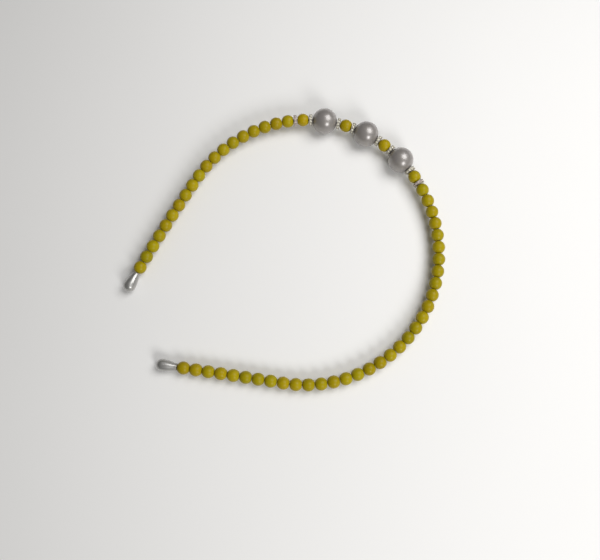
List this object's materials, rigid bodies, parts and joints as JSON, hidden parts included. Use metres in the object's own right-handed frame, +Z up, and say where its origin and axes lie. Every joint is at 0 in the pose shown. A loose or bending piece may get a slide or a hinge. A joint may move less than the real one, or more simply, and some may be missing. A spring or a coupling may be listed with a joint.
{
  "type": "beaded headband",
  "caption": "Horseshoe headband of round yellow beads on a stiff wire, with large pearls between stone-set spacers to one side of the crown and a teardrop on each end; worn over the hair.",
  "frame": {"origin": "on the surface that it lies on, under the middle of its box", "axes": "+Z up from the surface, +Y from the open ends to the crown, +X from the left end to the right end"},
  "size_m": [0.1352, 0.1538, 0.0124],
  "materials": {
    "yellow_bead": "glossy opaque yellow",
    "pearl": "satin grey-white pearl",
    "silver_spacer": "bright silver plate",
    "teardrop": "glossy grey-white pearl",
    "steel_wire": "plain drawn steel"
  },
  "bodies": {
    "root": {"bead_10": "yellow_bead", "bead_11": "yellow_bead", "bead_12": "yellow_bead", "bead_13": "yellow_bead", "bead_14": "yellow_bead", "bead_15": "yellow_bead", "bead_16": "yellow_bead", "bead_17": "yellow_bead", "bead_18": "yellow_bead", "bead_19": "yellow_bead", "bead_20": "yellow_bead", "bead_21": "yellow_bead", "bead_22": "yellow_bead", "bead_23": "yellow_bead", "bead_24": "yellow_bead", "bead_25": "yellow_bead", "bead_26": "yellow_bead", "bead_27": "yellow_bead", "bead_28": "yellow_bead", "bead_29": "yellow_bead", "bead_30": "yellow_bead", "bead_31": "yellow_bead", "bead_32": "yellow_bead", "bead_33": "yellow_bead", "bead_34": "yellow_bead", "bead_35": "yellow_bead", "bead_36": "yellow_bead", "bead_37": "yellow_bead", "bead_38": "yellow_bead", "bead_string_1": "yellow_bead", "bead_string_2": "yellow_bead", "bead_string_3": "yellow_bead", "bead_string_4": "yellow_bead", "bead_string_5": "yellow_bead", "bead_string_6": "yellow_bead", "bead_string_7": "yellow_bead", "bead_string_8": "yellow_bead", "bead_string_9": "yellow_bead", "pearl_1": "pearl", "pearl_2": "pearl", "pearl_3": "pearl", "spacer_1": "silver_spacer", "spacer_2": "silver_spacer", "spacer_3": "silver_spacer", "spacer_4": "silver_spacer", "spacer_5": "silver_spacer", "spacer_6": "silver_spacer", "spacer_7": "silver_spacer", "spacer_8": "silver_spacer", "tip_left": "teardrop", "tip_right": "teardrop", "wire": "steel_wire"}
  },
  "joints": []
}
